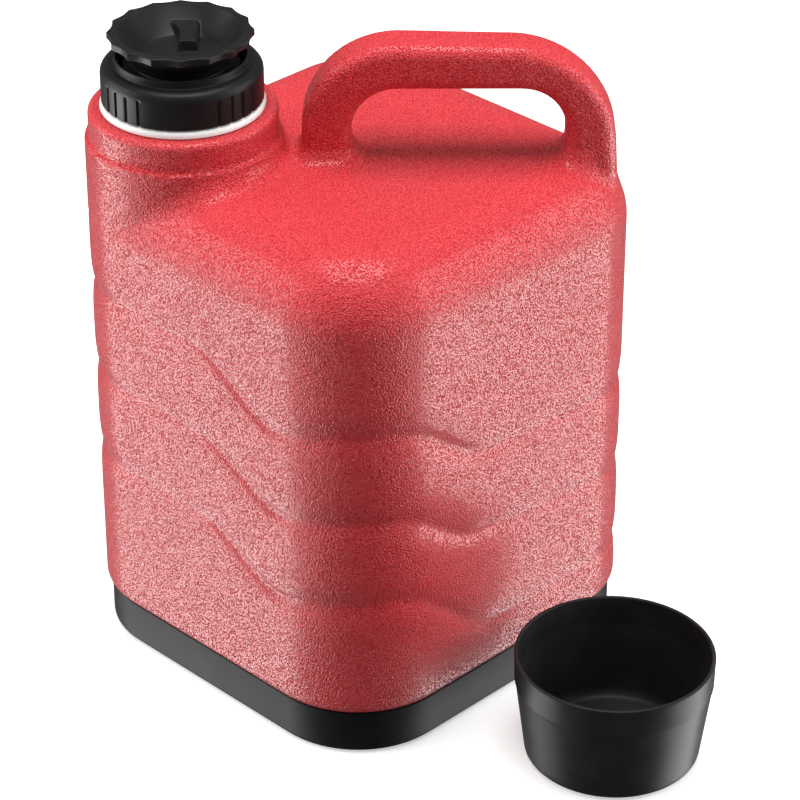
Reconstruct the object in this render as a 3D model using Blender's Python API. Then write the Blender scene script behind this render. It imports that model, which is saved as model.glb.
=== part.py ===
"""Insulated five-litre jug with a screw collar, a screw stopper and a loose drinking cup.

Metres, +Z up, origin at the centre of the flat underside. The body is a square prism
turned by 45 degrees, so its corners lie on the X and Y axes. The neck stands over the
corner at -X and the carrying handle runs from beside it to the corner at +X.
"""

import math

import bmesh
import bpy
from mathutils import Vector

# Fits
GAP = 0.0003  # between pieces that rest on or against each other
THREAD_PLAY = 0.0004  # radial, between a ridge and the wall it faces

# Outer shell
BODY_SIDE = 0.200
BODY_CORNER_R = 0.048
BODY_TOP = 0.2455
SHOULDER_R = 0.031
SHELL_WALL = 0.0025
SHELL_EDGE = 0.002  # the small chamfer along the shell's lower edge
FILL_HOLE_R = 0.012

# Base cover
BASE_HEIGHT = 0.0218
BASE_INSET = 0.0024  # how far its wall stands inside the shell's
BASE_WALL = 0.0025
BASE_FLOOR = 0.003
BASE_EDGE = 0.002
BEAD_DEPTH = 0.0008  # the snap bead that holds the cover on
BEAD_HEIGHT = 0.002
BEAD_Z = 0.013
FILL_FLANGE_R = 0.015
FILL_FLANGE_THICK = 0.0012

# Inner bottle
FOAM_THICK = 0.0145
BOTTLE_WALL = 0.002
BOTTLE_CORNER_R = 0.029
BOTTLE_SHOULDER_R = 0.022

# Neck, from the shoulder upwards, and what screws into it and onto it
NECK_BASE_STEP = 0.0019  # how far its foot stands out under the ring
NECK_BASE_HEIGHT = 0.0099
NECK_ROOT = 0.006  # how far up the shoulder's curve the neck's wall starts
RING_RIM = 0.0055  # the ring's width outside the bottle's flange
RING_HEIGHT = 0.0136
FLANGE_RIM = 0.0008  # how far the flange stands out under the collar's skirt
FLANGE_THICK = 0.0033
PLUG_R = 0.0262
PLUG_WALL = 0.0022
PLUG_LENGTH = 0.023
PLUG_FLOOR = 0.0082  # thick enough to hold the seal's groove
TUBE_WALL = 0.0015
TUBE_LENGTH = 0.026
TUBE_PLAY = 0.0005  # between the collar's tube and the bottle's neck
NECK_WALL = 0.0024
SKIRT_WALL = 0.0024
COLLAR_GAP = 0.0004  # between the bottle's flange and the collar's skirt
COLLAR_HEIGHT = 0.017
COLLAR_PLATE = 0.0025
COLLAR_ROUND = 0.0045
LIP_HEIGHT = 0.0035
LIP_STEP = 0.002  # how far the lip stands back from the bore
LIP_WALL = 0.0017
GASKET_THICK = 0.0015

# Screw threads
PITCH = 0.005
THREAD_HEIGHT = 0.0012
THREAD_ROOT = 0.002
THREAD_CREST = 0.0009
THREAD_SUNK = 0.0005  # how deep a ridge's foot is set into its wall
THREAD_TURNS = 1.25
NECK_THREAD_RISE = 0.0029  # from the flange's top to the middle of the ridge's start
PLUG_THREAD_RISE = 0.0123  # from the plug's underside

# Seals
RING_SECTION = 0.0028
RING_RISE = 0.00425  # from the plug's underside to the middle of the seal

# Stopper knob
STOPPER_SINK = 0.003  # the plug's top below the collar's top
KNOB_RISE = 0.0145  # the rim's top above the collar's top
KNOB_OVERHANG = 0.001  # how far the rim's tips stand out over the collar's lip
KNOB_RIM = 0.0033
SCALLOPS = 16
SCALLOP_DEPTH = 0.0013
SCALLOP_TURN = math.radians(3)
DISH_RIM = 0.0052
DISH_DEPTH = 0.010
KNOB_FLOOR = 0.0025
STEM_STEP = 0.0068  # from the collar's bore to the knob's stem
STEM_FLANGE = 0.002
STEM_WALL = 0.004
STEM_SHOULDER = 0.001  # from the stem's hollow up to where the knob widens
RIB_WIDTH = 0.008
RIB_OFFSET = 0.003
RIB_HEIGHT = 0.005
RIB_SUNK = 0.0006  # how deep the rib is set into the dish

# Handle
HANDLE_WIDTH = 0.024
HANDLE_THICK = 0.0215
HANDLE_EDGE_R = 0.006
HANDLE_NECK_GAP = 0.0081  # from the neck's foot to the left leg
HANDLE_INSET = 0.0189  # from the right leg's middle to the body's corner
HANDLE_RISE = 0.0438  # the bar's middle above the body's top
HANDLE_TURN_R = 0.027
HANDLE_ROOT = 0.020  # how deep the legs reach into the body

# Cup
CUP_PLAY = 0.0009  # between the cup's band and the shell's neck ring
CUP_WALL = 0.0018
CUP_BAND_DRAFT = 0.0004
CUP_HEADROOM = 0.0018  # above the knob when the cup is worn as a lid
CUP_TAPER = 0.0057  # how much narrower the foot is than the mouth
CUP_EDGE_R = 0.004
CUP_GAP = 0.0176  # between the standing cup and the body

# Steps of the round shapes
TURN_STEPS = 40
CORNER_STEPS = 6
SHOULDER_STEPS = 4
HANDLE_TURN_STEPS = 5
EDGE_STEPS = 2
SCALLOP_STEPS = 3
SEAL_STEPS = 8
SHARP_EDGE = math.radians(35)

# Worked-out sizes
BODY_HALF = BODY_SIDE / 2
CORNER_X = (BODY_HALF - BODY_CORNER_R) * math.sqrt(2) + BODY_CORNER_R
BASE_OUTER_HALF = BODY_HALF - BASE_INSET
BASE_INNER_HALF = BASE_OUTER_HALF - BASE_WALL
REBATE_HALF = BASE_INNER_HALF - GAP
SHELL_BOTTOM = BASE_FLOOR + GAP + FILL_FLANGE_THICK + GAP
SHELL_EDGE_Z = BASE_HEIGHT + GAP
LEDGE_Z = SHELL_EDGE_Z + SHELL_WALL
BOTTLE_HALF = BODY_HALF - SHELL_WALL - FOAM_THICK - 2 * GAP
BOTTLE_BOTTOM = SHELL_BOTTOM + SHELL_WALL + FOAM_THICK + 2 * GAP
BOTTLE_TOP = BODY_TOP - SHELL_WALL - FOAM_THICK - 2 * GAP
NECK_STEP_Z = BODY_TOP + NECK_BASE_HEIGHT
RING_TOP = NECK_STEP_Z + RING_HEIGHT
FLANGE_TOP = RING_TOP + GAP + FLANGE_THICK
COLLAR_BOTTOM = FLANGE_TOP + COLLAR_GAP
COLLAR_TOP = COLLAR_BOTTOM + COLLAR_HEIGHT
PLATE_UNDERSIDE = COLLAR_TOP - COLLAR_PLATE
NECK_RIM = PLATE_UNDERSIDE - GASKET_THICK - 2 * GAP
COLLAR_BORE_R = PLUG_R + THREAD_HEIGHT + THREAD_PLAY
TUBE_R = COLLAR_BORE_R + TUBE_WALL
NECK_BORE_R = TUBE_R + TUBE_PLAY
NECK_R = NECK_BORE_R + NECK_WALL
SKIRT_BORE_R = NECK_R + THREAD_HEIGHT + THREAD_PLAY
SKIRT_R = SKIRT_BORE_R + SKIRT_WALL
FLANGE_R = SKIRT_R + FLANGE_RIM
RING_R = FLANGE_R + RING_RIM
NECK_BASE_R = RING_R + NECK_BASE_STEP
NECK_X = NECK_BASE_R - CORNER_X
HANDLE_LEFT_X = NECK_X + NECK_BASE_R + HANDLE_NECK_GAP + HANDLE_THICK / 2
HANDLE_RIGHT_X = CORNER_X - HANDLE_INSET
LIP_R = COLLAR_BORE_R + LIP_STEP + LIP_WALL
KNOB_R = LIP_R + KNOB_OVERHANG
DISH_R = KNOB_R - DISH_RIM
STEM_R = COLLAR_BORE_R - STEM_STEP
DISH_FLOOR_R = STEM_R - KNOB_FLOOR
PLUG_TOP = COLLAR_TOP - STOPPER_SINK
PLUG_BOTTOM = PLUG_TOP - PLUG_LENGTH
KNOB_TOP = COLLAR_TOP + KNOB_RISE
KNOB_BOTTOM = PLUG_TOP + GAP
DISH_FLOOR_Z = KNOB_TOP - DISH_DEPTH
SEAL_OUTER_R = COLLAR_BORE_R - GAP
SEAL_MIDDLE_R = SEAL_OUTER_R - RING_SECTION / 2
SEAL_GROOVE_R = SEAL_OUTER_R - RING_SECTION - GAP
CUP_BAND_R = RING_R + CUP_PLAY + CUP_WALL
CUP_FOOT_R = CUP_BAND_R - CUP_TAPER
CUP_HEIGHT = KNOB_TOP - NECK_STEP_Z + CUP_HEADROOM + CUP_WALL
CUP_REACH = (BODY_HALF + CUP_GAP + CUP_BAND_R) / math.sqrt(2)

RED = ("shell_red", (0.80, 0.075, 0.095, 1), 0.45)
BLACK = ("moulded_black", (0.02, 0.02, 0.02, 1), 0.40)
WHITE = ("bottle_white", (0.88, 0.88, 0.86, 1), 0.35)
FOAM = ("foam_cream", (0.80, 0.68, 0.42, 1), 0.90)
SILICONE = ("seal_grey", (0.45, 0.46, 0.47, 1), 0.60)


def clear_scene():
    for obj in list(bpy.data.objects):
        bpy.data.objects.remove(obj, do_unlink=True)


def finish_material(finish):
    """The Principled material of a finish, made once and then shared."""
    name, colour, roughness = finish
    found = bpy.data.materials.get(name)
    if found:
        return found
    material = bpy.data.materials.new(name)
    material.use_nodes = True
    shader = material.node_tree.nodes["Principled BSDF"]
    shader.inputs["Base Color"].default_value = colour
    shader.inputs["Roughness"].default_value = roughness
    shader.inputs["Metallic"].default_value = 0.0
    return material


def make_empty(name, location):
    empty = bpy.data.objects.new(name, None)
    empty.location = location
    bpy.context.collection.objects.link(empty)
    return empty


def make_object(name, bm, parent, finish):
    """A smooth-shaded object from bm, held by the empty parent."""
    bmesh.ops.recalc_face_normals(bm, faces=bm.faces)
    mesh = bpy.data.meshes.new(name)
    bm.to_mesh(mesh)
    bm.free()
    mesh.shade_smooth()
    mesh.set_sharp_from_angle(angle=SHARP_EDGE)
    mesh.materials.append(finish_material(finish))
    obj = bpy.data.objects.new(name, mesh)
    obj.parent = parent
    bpy.context.collection.objects.link(obj)
    return obj


def combine(obj, tool, operation, solver="EXACT"):
    """Joins a helper to obj or cuts it away, and hides the helper."""
    tool.hide_render = True
    tool.display_type = "WIRE"
    boolean = obj.modifiers.new(tool.name, "BOOLEAN")
    boolean.operation = operation
    boolean.solver = solver
    boolean.object = tool


def arc(centre, radius, start, end, steps):
    """Points (a, b) on an arc between two angles in degrees, both ends included."""
    points = []
    for i in range(steps + 1):
        angle = math.radians(start + (end - start) * i / steps)
        a = centre[0] + radius * math.cos(angle)
        b = centre[1] + radius * math.sin(angle)
        points.append((a, b))
    return points


def lofted(loops, closed=False):
    """Skins loops of equally many points; open ends are capped, closed ends joined."""
    bm = bmesh.new()
    rings = [[bm.verts.new(point) for point in loop] for loop in loops]
    pairs = list(zip(rings, rings[1:]))
    if closed:
        pairs.append((rings[-1], rings[0]))
    for low, high in pairs:
        for i in range(len(low)):
            j = (i + 1) % len(low)
            bm.faces.new((low[i], low[j], high[j], high[i]))
    if not closed:
        bm.faces.new(reversed(rings[0]))
        bm.faces.new(rings[-1])
    return bm


def turned(profile):
    """Spins a profile of (radius, z) once round Z. It ends on the axis or on itself."""
    bm = bmesh.new()
    points = [bm.verts.new((radius, 0, z)) for radius, z in profile]
    edges = [bm.edges.new(pair) for pair in zip(points, points[1:])]
    if profile[0][0] > 0:
        edges.append(bm.edges.new((points[-1], points[0])))
    bmesh.ops.spin(
        bm,
        geom=points + edges,
        cent=(0, 0, 0),
        axis=(0, 0, 1),
        angle=2 * math.pi,
        steps=TURN_STEPS,
    )
    bmesh.ops.remove_doubles(bm, verts=bm.verts, dist=1e-6)
    return bm


def outline(half, z, corner_r=None):
    """The body's rounded square of a half side at height z, with concentric corners."""
    if corner_r is None:
        corner_r = BODY_CORNER_R - (BODY_HALF - half)
    reach = (half - corner_r) * math.sqrt(2)
    loop = []
    for corner in range(4):
        middle = 90 * corner
        at = math.radians(middle)
        centre = (reach * math.cos(at), reach * math.sin(at))
        for x, y in arc(centre, corner_r, middle - 45, middle + 45, CORNER_STEPS):
            loop.append(Vector((x, y, z)))
    return loop


def shoulder_loops(half, top, radius, corner_r):
    """Outlines that round a prism's top edge over, from its wall to its flat top."""
    loops = []
    for rise, inset in arc((0, radius), radius, -90, 0, SHOULDER_STEPS):
        loops.append(outline(half - inset, top - radius + rise, corner_r - inset))
    return loops


def shell_body():
    """The shell's outside without neck and handle, with its rebate for the base."""
    bead_low = BEAD_Z - BEAD_HEIGHT / 2 - GAP
    bead_high = BEAD_Z + BEAD_HEIGHT / 2 + GAP
    loops = [
        outline(REBATE_HALF, SHELL_BOTTOM),
        outline(REBATE_HALF, bead_low),
        outline(REBATE_HALF - BEAD_DEPTH, bead_low),
        outline(REBATE_HALF - BEAD_DEPTH, bead_high),
        outline(REBATE_HALF, bead_high),
        outline(REBATE_HALF, SHELL_EDGE_Z),
        outline(BODY_HALF - SHELL_EDGE, SHELL_EDGE_Z),
        outline(BODY_HALF, SHELL_EDGE_Z + SHELL_EDGE),
    ]
    return lofted(loops + shoulder_loops(BODY_HALF, BODY_TOP, SHOULDER_R, BODY_CORNER_R))


def cavity_body(gap):
    """The space inside the shell's walls, smaller by a gap all round."""
    low_half = REBATE_HALF - SHELL_WALL - gap
    half = BODY_HALF - SHELL_WALL - gap
    corner_r = BODY_CORNER_R - SHELL_WALL - gap
    loops = [
        outline(low_half, SHELL_BOTTOM + SHELL_WALL + gap),
        outline(low_half, LEDGE_Z + gap),
        outline(half, LEDGE_Z + gap),
    ]
    top = BODY_TOP - SHELL_WALL - gap
    return lofted(loops + shoulder_loops(half, top, SHOULDER_R - SHELL_WALL - gap, corner_r))


def cavity_neck(gap):
    """The space inside the shell's neck, up to the underside of its ring."""
    root = BODY_TOP - SHOULDER_R + NECK_ROOT + SHELL_WALL
    low_r = NECK_BASE_R - SHELL_WALL - gap
    high_r = RING_R - SHELL_WALL - gap
    step = NECK_STEP_Z - SHELL_WALL - gap
    top = RING_TOP - SHELL_WALL - gap
    return turned([(0, root), (low_r, root), (low_r, step), (high_r, step), (high_r, top), (0, top)])


def bottle_body(grow):
    """The inner bottle's outside without its neck, larger by grow all round."""
    half = BOTTLE_HALF + grow
    corner_r = BOTTLE_CORNER_R + grow
    low = [outline(half, BOTTLE_BOTTOM - grow, corner_r)]
    radius = BOTTLE_SHOULDER_R + grow
    return lofted(low + shoulder_loops(half, BOTTLE_TOP + grow, radius, corner_r))


def column(radius, low, high):
    """A plain round column on the Z axis."""
    return turned([(0, low), (radius, low), (radius, high), (0, high)])


def handle_path():
    """Places and directions (x, z, dx, dz) along the handle, from the left foot."""
    turn_z = BODY_TOP + HANDLE_RISE - HANDLE_TURN_R
    foot_z = BODY_TOP - HANDLE_ROOT
    path = [(HANDLE_LEFT_X, foot_z, 0, 1)]
    turns = (
        (HANDLE_LEFT_X + HANDLE_TURN_R, 180, 90),
        (HANDLE_RIGHT_X - HANDLE_TURN_R, 90, 0),
    )
    for centre_x, start, end in turns:
        for x, z in arc((centre_x, turn_z), HANDLE_TURN_R, start, end, HANDLE_TURN_STEPS):
            out_x = (x - centre_x) / HANDLE_TURN_R
            out_z = (z - turn_z) / HANDLE_TURN_R
            path.append((x, z, out_z, -out_x))
    path.append((HANDLE_RIGHT_X, foot_z, 0, -1))
    return path


def handle_bar(inset):
    """The handle's bar, swept along its path, thinner by inset on every side."""
    radius = HANDLE_EDGE_R - inset
    across = HANDLE_WIDTH / 2 - HANDLE_EDGE_R
    through = HANDLE_THICK / 2 - HANDLE_EDGE_R
    section = []
    for corner, (a, b) in enumerate(((1, 1), (-1, 1), (-1, -1), (1, -1))):
        start = 90 * corner
        centre = (a * across, b * through)
        section += arc(centre, radius, start, start + 90, EDGE_STEPS)
    loops = []
    for x, z, dx, dz in handle_path():
        loops.append([Vector((x - v * dz, u, z + v * dx)) for u, v in section])
    return lofted(loops)


def thread_ridge(wall_r, side, start_z):
    """A right-hand ridge on a wall: side is 1 on its outside and -1 in its bore."""
    foot_r = wall_r - side * THREAD_SUNK
    crest_r = wall_r + side * THREAD_HEIGHT
    section = (
        (foot_r, -THREAD_ROOT / 2),
        (crest_r, -THREAD_CREST / 2),
        (crest_r, THREAD_CREST / 2),
        (foot_r, THREAD_ROOT / 2),
    )
    loops = []
    for i in range(round(THREAD_TURNS * TURN_STEPS) + 1):
        angle = 2 * math.pi * i / TURN_STEPS
        rise = start_z + PITCH * i / TURN_STEPS
        turn = Vector((math.cos(angle), math.sin(angle), 0))
        loops.append([turn * radius + Vector((0, 0, rise + z)) for radius, z in section])
    return lofted(loops)


def combine_blown(obj, tool, operation):
    """Combines parts of a thin blown wall, on which EXACT leaves open edges at some sizes."""
    combine(obj, tool, operation, "MANIFOLD")


def make_outer_shell(frame, neck):
    """The blown shell: body, neck and hollow handle in one piece, open at the neck."""
    shell = make_object("outer_shell", shell_body(), frame, RED)
    root = BODY_TOP - SHOULDER_R + NECK_ROOT
    neck_profile = [
        (0, root),
        (NECK_BASE_R, root),
        (NECK_BASE_R, NECK_STEP_Z),
        (RING_R, NECK_STEP_Z),
        (RING_R, RING_TOP),
        (0, RING_TOP),
    ]
    combine_blown(shell, make_object("shell_neck_add", turned(neck_profile), neck, RED), "UNION")
    combine_blown(shell, make_object("handle_add", handle_bar(0), frame, RED), "UNION")
    cavity = make_object("shell_cavity_cut", cavity_body(0), frame, RED)
    combine_blown(cavity, make_object("neck_cavity_cut", cavity_neck(0), neck, RED), "UNION")
    combine_blown(cavity, make_object("handle_cavity_cut", handle_bar(SHELL_WALL), frame, RED), "UNION")
    bore = column(NECK_R + GAP, NECK_STEP_Z, RING_TOP + SHELL_WALL)
    combine_blown(cavity, make_object("neck_bore_cut", bore, neck, RED), "UNION")
    hole = column(FILL_HOLE_R, SHELL_BOTTOM - SHELL_WALL, SHELL_BOTTOM + 2 * SHELL_WALL)
    combine_blown(cavity, make_object("fill_hole_cut", hole, frame, RED), "UNION")
    combine_blown(shell, cavity, "DIFFERENCE")


def make_foam_insulation(frame, neck):
    """The foam that fills the space between the shell and the inner bottle."""
    foam = make_object("foam_insulation", cavity_body(GAP), frame, FOAM)
    combine(foam, make_object("foam_neck_add", cavity_neck(GAP), neck, FOAM), "UNION")
    combine(foam, make_object("foam_bottle_cut", bottle_body(GAP), frame, FOAM), "DIFFERENCE")
    root = BOTTLE_TOP - BOTTLE_SHOULDER_R + NECK_ROOT
    passage = column(NECK_R + GAP, root - GAP, RING_TOP)
    combine(foam, make_object("foam_bore_cut", passage, neck, FOAM), "DIFFERENCE")


def make_inner_bottle(frame, neck):
    """The bottle that holds the drink, with a flange and an outside thread on its neck."""
    bottle = make_object("inner_bottle", bottle_body(0), frame, WHITE)
    root = BOTTLE_TOP - BOTTLE_SHOULDER_R + NECK_ROOT
    neck_profile = [
        (0, root),
        (NECK_R, root),
        (NECK_R, RING_TOP + GAP),
        (FLANGE_R, RING_TOP + GAP),
        (FLANGE_R, FLANGE_TOP),
        (NECK_R, FLANGE_TOP),
        (NECK_R, NECK_RIM),
        (0, NECK_RIM),
    ]
    combine_blown(bottle, make_object("bottle_neck_add", turned(neck_profile), neck, WHITE), "UNION")
    hollow = make_object("bottle_hollow_cut", bottle_body(-BOTTLE_WALL), frame, WHITE)
    bore = column(NECK_BORE_R, root + BOTTLE_WALL, NECK_RIM + BOTTLE_WALL)
    combine_blown(hollow, make_object("bottle_bore_cut", bore, neck, WHITE), "UNION")
    combine_blown(bottle, hollow, "DIFFERENCE")
    ridge = thread_ridge(NECK_R, 1, FLANGE_TOP + NECK_THREAD_RISE)
    combine_blown(bottle, make_object("neck_thread_add", ridge, neck, WHITE), "UNION")


def make_base_cover(frame):
    """The tray that snaps over the shell's foot with a bead round its inside."""
    bead_low = BEAD_Z - BEAD_HEIGHT / 2
    bead_high = BEAD_Z + BEAD_HEIGHT / 2
    loops = [
        outline(BASE_INNER_HALF, BASE_FLOOR),
        outline(BASE_INNER_HALF, bead_low),
        outline(BASE_INNER_HALF - BEAD_DEPTH, bead_low),
        outline(BASE_INNER_HALF - BEAD_DEPTH, bead_high),
        outline(BASE_INNER_HALF, bead_high),
        outline(BASE_INNER_HALF, BASE_HEIGHT),
        outline(BASE_OUTER_HALF, BASE_HEIGHT),
        outline(BASE_OUTER_HALF, BASE_EDGE),
        outline(BASE_OUTER_HALF - BASE_EDGE, 0),
    ]
    make_object("base_cover", lofted(loops), frame, BLACK)


def make_fill_plug(frame):
    """The plug that closes the hole through which the foam was poured."""
    flange_low = SHELL_BOTTOM - GAP - FILL_FLANGE_THICK
    profile = [
        (0, flange_low),
        (FILL_FLANGE_R, flange_low),
        (FILL_FLANGE_R, SHELL_BOTTOM - GAP),
        (FILL_HOLE_R - GAP, SHELL_BOTTOM - GAP),
        (FILL_HOLE_R - GAP, SHELL_BOTTOM + SHELL_WALL),
        (0, SHELL_BOTTOM + SHELL_WALL),
    ]
    make_object("foam_fill_plug", turned(profile), frame, BLACK)


def make_pour_collar(neck):
    """The screwed collar: skirt, rounded top with a lip, and a tube for the stopper."""
    tube_bottom = COLLAR_TOP - TUBE_LENGTH
    round_centre = (SKIRT_R - COLLAR_ROUND, COLLAR_TOP - COLLAR_ROUND)
    profile = [
        (COLLAR_BORE_R, tube_bottom),
        (TUBE_R, tube_bottom),
        (TUBE_R, PLATE_UNDERSIDE),
        (SKIRT_BORE_R, PLATE_UNDERSIDE),
        (SKIRT_BORE_R, COLLAR_BOTTOM),
        (SKIRT_R, COLLAR_BOTTOM),
        *arc(round_centre, COLLAR_ROUND, 0, 90, EDGE_STEPS + 1),
        (LIP_R, COLLAR_TOP),
        (LIP_R, COLLAR_TOP + LIP_HEIGHT),
        (LIP_R - LIP_WALL, COLLAR_TOP + LIP_HEIGHT),
        (LIP_R - LIP_WALL, COLLAR_TOP),
        (COLLAR_BORE_R, COLLAR_TOP - LIP_WALL),
    ]
    collar = make_object("pour_collar", turned(profile), neck, BLACK)
    skirt_start = FLANGE_TOP + NECK_THREAD_RISE + PITCH / 2
    skirt_ridge = thread_ridge(SKIRT_BORE_R, -1, skirt_start)
    combine(collar, make_object("skirt_thread_add", skirt_ridge, neck, BLACK), "UNION")
    tube_ridge = thread_ridge(COLLAR_BORE_R, -1, PLUG_BOTTOM + PLUG_THREAD_RISE + PITCH / 2)
    combine(collar, make_object("tube_thread_add", tube_ridge, neck, BLACK), "UNION")


def make_collar_gasket(neck):
    """The flat washer between the bottle's rim and the collar."""
    inner_r = TUBE_R + GAP
    outer_r = SKIRT_BORE_R - THREAD_HEIGHT - GAP
    low = NECK_RIM + GAP
    high = low + GASKET_THICK
    profile = [(inner_r, low), (outer_r, low), (outer_r, high), (inner_r, high)]
    make_object("collar_gasket", turned(profile), neck, SILICONE)


def scalloped(radius, z, depth):
    """A circle whose edge is cut into shallow hollows of a depth between sharp tips."""
    loop = []
    steps = SCALLOPS * SCALLOP_STEPS
    for i in range(steps):
        angle = 2 * math.pi * i / steps
        cut = depth * math.sin(math.pi * (i % SCALLOP_STEPS) / SCALLOP_STEPS)
        turn = angle + SCALLOP_TURN
        loop.append(Vector(((radius - cut) * math.cos(turn), (radius - cut) * math.sin(turn), z)))
    return loop


def make_stopper_knob(neck):
    """The dished knob with a scalloped rim, a gripping rib and a hollow stem."""
    pocket_r = STEM_R - STEM_WALL
    pocket_top = DISH_FLOOR_Z - KNOB_FLOOR
    stem_low = KNOB_BOTTOM + STEM_FLANGE
    rim_low = KNOB_TOP - KNOB_RIM
    loops = [
        scalloped(pocket_r, pocket_top, 0),
        scalloped(pocket_r, KNOB_BOTTOM, 0),
        scalloped(PLUG_R, KNOB_BOTTOM, 0),
        scalloped(PLUG_R, stem_low, 0),
        scalloped(STEM_R, stem_low, 0),
        scalloped(STEM_R, pocket_top + STEM_SHOULDER, 0),
        scalloped(KNOB_R - KNOB_FLOOR, rim_low, 0),
        scalloped(KNOB_R, rim_low, SCALLOP_DEPTH),
        scalloped(KNOB_R, KNOB_TOP, SCALLOP_DEPTH),
        scalloped(DISH_R, KNOB_TOP, 0),
        scalloped(DISH_FLOOR_R, DISH_FLOOR_Z, 0),
    ]
    knob = make_object("stopper_knob", lofted(loops), neck, BLACK)
    slope = (DISH_R - DISH_FLOOR_R) / DISH_DEPTH
    rib_top = DISH_FLOOR_Z + RIB_HEIGHT
    rib_low = DISH_FLOOR_Z - RIB_SUNK
    wall_y = DISH_FLOOR_R + slope * RIB_HEIGHT + RIB_SUNK
    side = [(0, rib_low), (DISH_FLOOR_R, rib_low), (wall_y, rib_top), (0, rib_top)]
    ends = [RIB_OFFSET - RIB_WIDTH / 2, RIB_OFFSET + RIB_WIDTH / 2]
    rib = lofted([[Vector((x, y, z)) for y, z in side] for x in ends])
    combine(knob, make_object("knob_rib_add", rib, neck, BLACK), "UNION")


def make_stopper_plug(neck):
    """The threaded cup under the knob, with a groove for its seal near the bottom."""
    bore_r = PLUG_R - PLUG_WALL
    floor = PLUG_BOTTOM + PLUG_FLOOR
    groove_low = PLUG_BOTTOM + RING_RISE - RING_SECTION / 2 - GAP
    groove_high = PLUG_BOTTOM + RING_RISE + RING_SECTION / 2 + GAP
    profile = [
        (0, PLUG_BOTTOM),
        (PLUG_R, PLUG_BOTTOM),
        (PLUG_R, groove_low),
        (SEAL_GROOVE_R, groove_low),
        (SEAL_GROOVE_R, groove_high),
        (PLUG_R, groove_high),
        (PLUG_R, PLUG_TOP),
        (bore_r, PLUG_TOP),
        (bore_r, floor),
        (0, floor),
    ]
    plug = make_object("stopper_plug", turned(profile), neck, BLACK)
    ridge = thread_ridge(PLUG_R, 1, PLUG_BOTTOM + PLUG_THREAD_RISE)
    combine(plug, make_object("plug_thread_add", ridge, neck, BLACK), "UNION")


def make_stopper_foam(neck):
    """The foam disc inside the stopper, stepped to fill the knob's stem too."""
    wide_r = PLUG_R - PLUG_WALL - GAP
    slim_r = STEM_R - STEM_WALL - GAP
    low = PLUG_BOTTOM + PLUG_FLOOR + GAP
    step = PLUG_TOP - GAP
    high = DISH_FLOOR_Z - KNOB_FLOOR - GAP
    profile = [(0, low), (wide_r, low), (wide_r, step), (slim_r, step), (slim_r, high), (0, high)]
    make_object("stopper_foam", turned(profile), neck, FOAM)


def make_stopper_seal(neck):
    """The round seal in the plug's groove."""
    middle = (SEAL_MIDDLE_R, PLUG_BOTTOM + RING_RISE)
    profile = arc(middle, RING_SECTION / 2, 0, 360, SEAL_STEPS)[:-1]
    make_object("stopper_o_ring", turned(profile), neck, SILICONE)


def make_drinking_cup(place):
    """The cup that serves as a lid too: its band fits over the shell's neck ring."""
    band_low = CUP_HEIGHT - RING_HEIGHT
    band_low_r = CUP_BAND_R - CUP_BAND_DRAFT
    foot_centre = (CUP_FOOT_R - CUP_EDGE_R, CUP_EDGE_R)
    inner_round_r = CUP_EDGE_R - CUP_WALL
    profile = [
        (0, 0),
        *arc(foot_centre, CUP_EDGE_R, -90, 0, EDGE_STEPS + 1),
        (band_low_r, band_low),
        (CUP_BAND_R, CUP_HEIGHT),
        (CUP_BAND_R - CUP_WALL, CUP_HEIGHT),
        (band_low_r - CUP_WALL, band_low),
        *arc(foot_centre, inner_round_r, 0, -90, EDGE_STEPS + 1),
        (0, CUP_WALL),
    ]
    make_object("drinking_cup", turned(profile), place, BLACK)


def main():
    clear_scene()
    frame = make_empty("jug_frame", (0, 0, 0))
    neck = make_empty("neck_axis", (NECK_X, 0, 0))
    neck.parent = frame
    cup_place = make_empty("cup_place", (CUP_REACH, -CUP_REACH, 0))
    cup_place.parent = frame
    make_outer_shell(frame, neck)
    make_foam_insulation(frame, neck)
    make_inner_bottle(frame, neck)
    make_base_cover(frame)
    make_fill_plug(frame)
    make_pour_collar(neck)
    make_collar_gasket(neck)
    make_stopper_knob(neck)
    make_stopper_plug(neck)
    make_stopper_foam(neck)
    make_stopper_seal(neck)
    make_drinking_cup(cup_place)


main()
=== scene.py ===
# %% [markdown]
# # An insulated jug and its cup
# The jug is a red blown shell around a white bottle, with a black base, a screwed collar, a
# screwed stopper and a loose cup. The frame holds the working solids. This script gives each of
# them the shape and the finish that the eye sees, and never moves or resizes one.

# %% Load the frame
import math

import bmesh
import bpy
import numpy as np
from mathutils import Matrix, Vector


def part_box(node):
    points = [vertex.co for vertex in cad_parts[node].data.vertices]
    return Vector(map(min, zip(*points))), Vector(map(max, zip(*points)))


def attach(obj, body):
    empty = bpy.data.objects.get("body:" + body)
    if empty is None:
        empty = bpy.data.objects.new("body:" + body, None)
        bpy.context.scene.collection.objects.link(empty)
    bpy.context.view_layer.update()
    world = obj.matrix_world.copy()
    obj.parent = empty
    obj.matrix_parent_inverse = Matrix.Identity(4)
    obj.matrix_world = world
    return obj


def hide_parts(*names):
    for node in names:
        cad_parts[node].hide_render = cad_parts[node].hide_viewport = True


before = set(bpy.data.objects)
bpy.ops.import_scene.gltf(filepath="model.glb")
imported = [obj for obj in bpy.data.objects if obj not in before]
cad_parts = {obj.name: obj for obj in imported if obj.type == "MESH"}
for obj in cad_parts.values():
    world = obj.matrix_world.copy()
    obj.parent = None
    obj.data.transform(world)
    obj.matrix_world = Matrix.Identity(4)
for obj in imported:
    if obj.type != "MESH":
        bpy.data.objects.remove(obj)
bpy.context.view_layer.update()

# %% [markdown]
# ## Places that the frame gives
# Two axes matter: the neck's, which the collar and the stopper turn about, and the cup's. Both
# come from the middle of a solid's box. The body is a square with round corners, turned so that
# its corners lie on the axes, so its reach along X and the corner's radius give its half side.

# %% Axes and the body's square
MM = 0.001


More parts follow.
